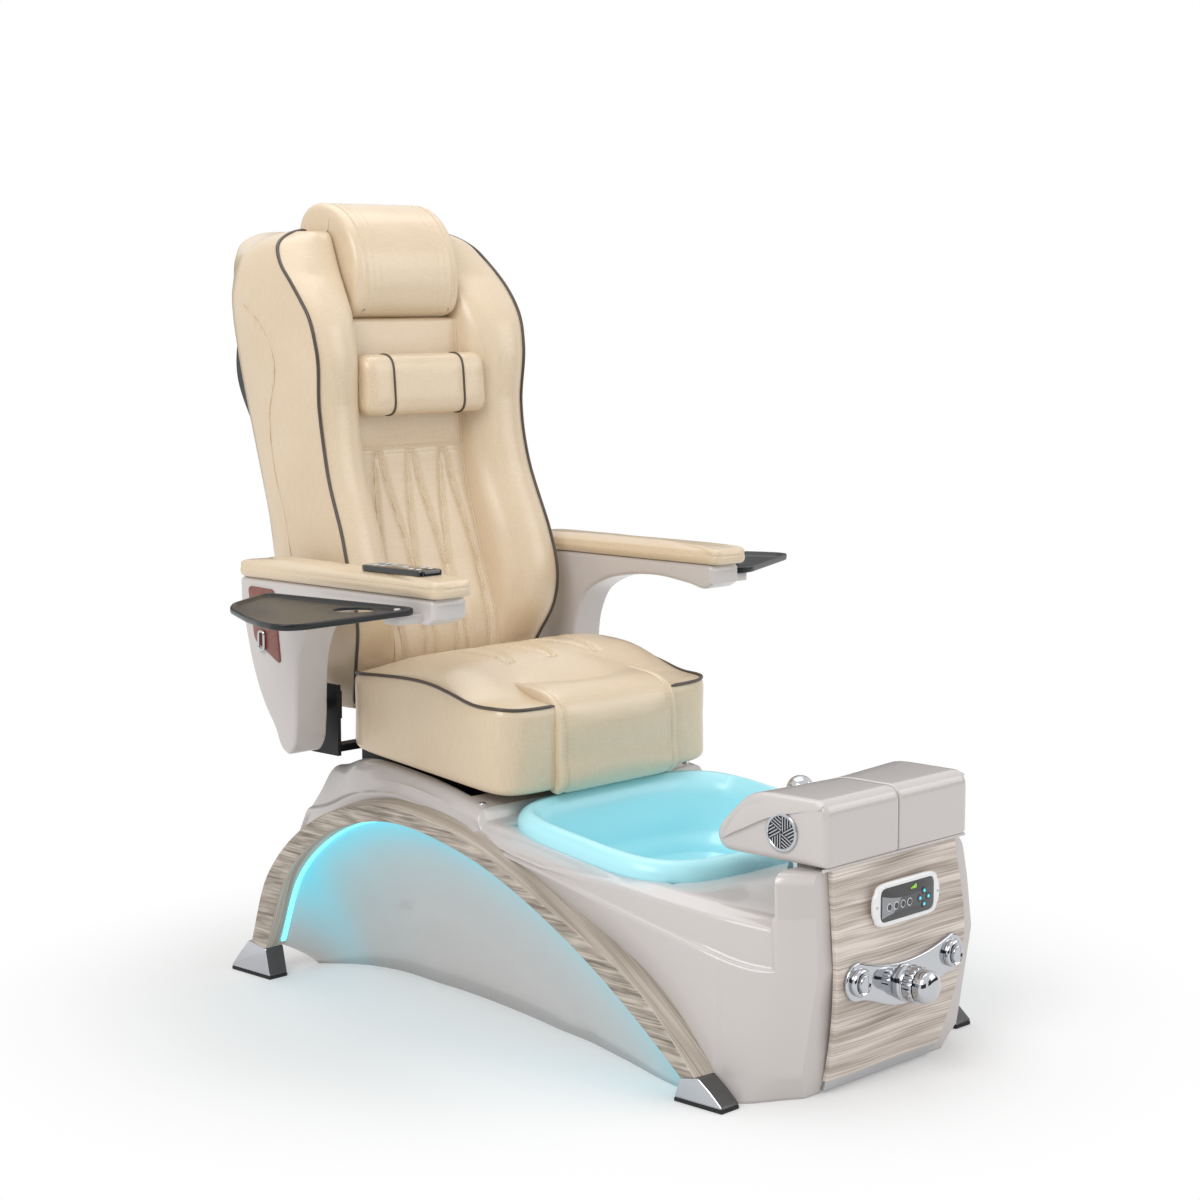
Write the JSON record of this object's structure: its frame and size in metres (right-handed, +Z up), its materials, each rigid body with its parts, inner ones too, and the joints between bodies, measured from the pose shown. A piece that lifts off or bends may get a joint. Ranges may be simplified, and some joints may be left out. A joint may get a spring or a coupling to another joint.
{
  "type": "pedicure chair",
  "caption": "Spa pedicure chair with a lit foot basin, flip-up footrest, sliding reclining padded seat, lift-up arms and swing-out trays.",
  "frame": {"origin": "on the floor, under the middle of the base, on the floor frame's middle cross member", "axes": "+Z up, the chair faces -Y, the sitter's right hand is on -X"},
  "size_m": [1.427, 1.5867, 1.483],
  "materials": {
    "leatherette": "satin coated upholstery fabric over foam",
    "shell_grey": "gloss",
    "ash_laminate": "satin laminate",
    "chrome": "polished",
    "aluminium": "brushed",
    "black_plastic": "satin",
    "black_steel": "powder coated",
    "grey_steel": "satin",
    "brown_inlay": "satin",
    "lit_acrylic": "gloss, lit from below",
    "led": "diffuse light strip",
    "screen_glass": "gloss black",
    "white_plastic": "satin"
  },
  "bodies": {
    "base": {"floor_frame": "black_steel", "seat_pedestal": "black_steel", "control_box": "black_plastic", "slide_actuator": "aluminium", "base_shell": "shell_grey", "arch_trim_right": "ash_laminate", "arch_trim_left": "ash_laminate", "front_boot_right": "chrome", "front_boot_left": "chrome", "rear_boot_right": "chrome", "rear_boot_left": "chrome", "side_led_strip_right": "led", "side_led_strip_left": "led", "basin": "lit_acrylic", "basin_led_ring": "led", "drain_strainer": "chrome", "drain_pipe": "white_plastic", "jet_housing": "white_plastic", "front_panel": "ash_laminate", "kick_strip": "aluminium", "display_bezel": "white_plastic", "display_screen": "screen_glass", "faucet_plate": "chrome", "valve_body": "chrome", "sprayer_holder": "chrome", "footrest_hinge": "grey_steel"},
    "jet_wheel": {"jet_impeller": "white_plastic"},
    "flow_control": {"flow_knob": "chrome"},
    "temperature_control": {"temperature_knob": "chrome"},
    "jet_control": {"jet_knob": "chrome"},
    "drain_control": {"drain_knob": "chrome"},
    "hand_sprayer": {"sprayer": "chrome"},
    "seat": {"seat_frame": "black_steel", "seat_cushion": "leatherette", "slide_rod": "chrome", "pivot_pin_right": "grey_steel", "pivot_pin_left": "grey_steel"},
    "back": {"back_frame": "black_steel", "back_shell": "black_plastic", "back_cushion": "leatherette", "headrest": "leatherette"},
    "massager": {"massage_carriage": "grey_steel"},
    "pillow": {"neck_pillow": "leatherette"},
    "rocker_key": {"remote_rocker": "chrome"},
    "footrest_right": {"footrest_right": "shell_grey", "vent_grille_right": "chrome"},
    "arm_right": {"arm_shell_right": "shell_grey", "arm_pad_right": "leatherette", "arm_inlay_right": "brown_inlay", "remote": "black_plastic"},
    "hook_right": {"bag_hook_right": "chrome"},
    "tray_right": {"tray_right": "black_plastic"},
    "footrest_left": {"footrest_left": "shell_grey", "vent_grille_left": "chrome"},
    "arm_left": {"arm_shell_left": "shell_grey", "arm_pad_left": "leatherette", "arm_inlay_left": "brown_inlay"},
    "hook_left": {"bag_hook_left": "chrome"},
    "tray_left": {"tray_left": "black_plastic"}
  },
  "joints": [
    {"name": "jet_spin", "type": "hinge", "parent": "base", "child": "jet_wheel", "pos_m": [0, -0.145, 0.2], "axis": [0, 0, 1], "continuous": true},
    {"name": "flow_turn", "type": "hinge", "parent": "base", "child": "flow_control", "pos_m": [0, -0.74, 0.17], "axis": [0, -1, 0], "range_deg": [0, 90]},
    {"name": "temperature_turn", "type": "hinge", "parent": "base", "child": "temperature_control", "pos_m": [0, -0.76, 0.17], "axis": [0, -1, 0], "range_deg": [-90, 90]},
    {"name": "jet_turn", "type": "hinge", "parent": "base", "child": "jet_control", "pos_m": [-0.128, -0.72, 0.196], "axis": [0, -1, 0], "range_deg": [0, 180]},
    {"name": "drain_turn", "type": "hinge", "parent": "base", "child": "drain_control", "pos_m": [0.128, -0.72, 0.196], "axis": [0, -1, 0], "range_deg": [0, 180]},
    {"name": "sprayer_lift", "type": "slide", "parent": "base", "child": "hand_sprayer", "axis": [0, 0, 1], "range_m": [0, 0.05]},
    {"name": "seat_slide", "type": "slide", "parent": "base", "child": "seat", "axis": [0, 1, 0], "range_m": [-0.1, 0.06]},
    {"name": "back_recline", "type": "hinge", "parent": "seat", "child": "back", "pos_m": [0, 0.415, 0.545], "axis": [-1, 0, 0], "range_deg": [0, 32]},
    {"name": "massage_travel", "type": "slide", "parent": "back", "child": "massager", "axis": [0, 0.2102, 0.9777], "range_m": [-0.15, 0.2]},
    {"name": "pillow_slide", "type": "slide", "parent": "back", "child": "pillow", "axis": [0, 0.0762, 0.9971], "range_m": [-0.06, 0.05]},
    {"name": "rocker_tilt", "type": "hinge", "parent": "arm_right", "child": "rocker_key", "pos_m": [-0.3675, 0.118, 0.832], "axis": [1, 0, 0], "range_deg": [-8, 8], "stiffness_Nm_per_rad": 0.2},
    {"name": "footrest_flip_right", "type": "hinge", "parent": "base", "child": "footrest_right", "pos_m": [0, -0.694, 0.3878], "axis": [1, 0, 0], "range_deg": [0, 65]},
    {"name": "arm_lift_right", "type": "hinge", "parent": "seat", "child": "arm_right", "pos_m": [0, 0.415, 0.545], "axis": [-1, 0, 0], "range_deg": [0, 75]},
    {"name": "hook_fold_right", "type": "hinge", "parent": "arm_right", "child": "hook_right", "pos_m": [-0.4111, 0.458, 0.69], "axis": [0, 1, 0], "range_deg": [0, 85]},
    {"name": "tray_swing_right", "type": "hinge", "parent": "arm_right", "child": "tray_right", "pos_m": [-0.447, 0.042, 0.763], "axis": [0, 0, 1], "range_deg": [0, 90]},
    {"name": "footrest_flip_left", "type": "hinge", "parent": "base", "child": "footrest_left", "pos_m": [0, -0.694, 0.3878], "axis": [1, 0, 0], "range_deg": [0, 65]},
    {"name": "arm_lift_left", "type": "hinge", "parent": "seat", "child": "arm_left", "pos_m": [0, 0.415, 0.545], "axis": [-1, 0, 0], "range_deg": [0, 75]},
    {"name": "hook_fold_left", "type": "hinge", "parent": "arm_left", "child": "hook_left", "pos_m": [0.4111, 0.458, 0.69], "axis": [0, -1, 0], "range_deg": [0, 85]},
    {"name": "tray_swing_left", "type": "hinge", "parent": "arm_left", "child": "tray_left", "pos_m": [0.447, 0.042, 0.763], "axis": [0, 0, -1], "range_deg": [0, 90]}
  ]
}
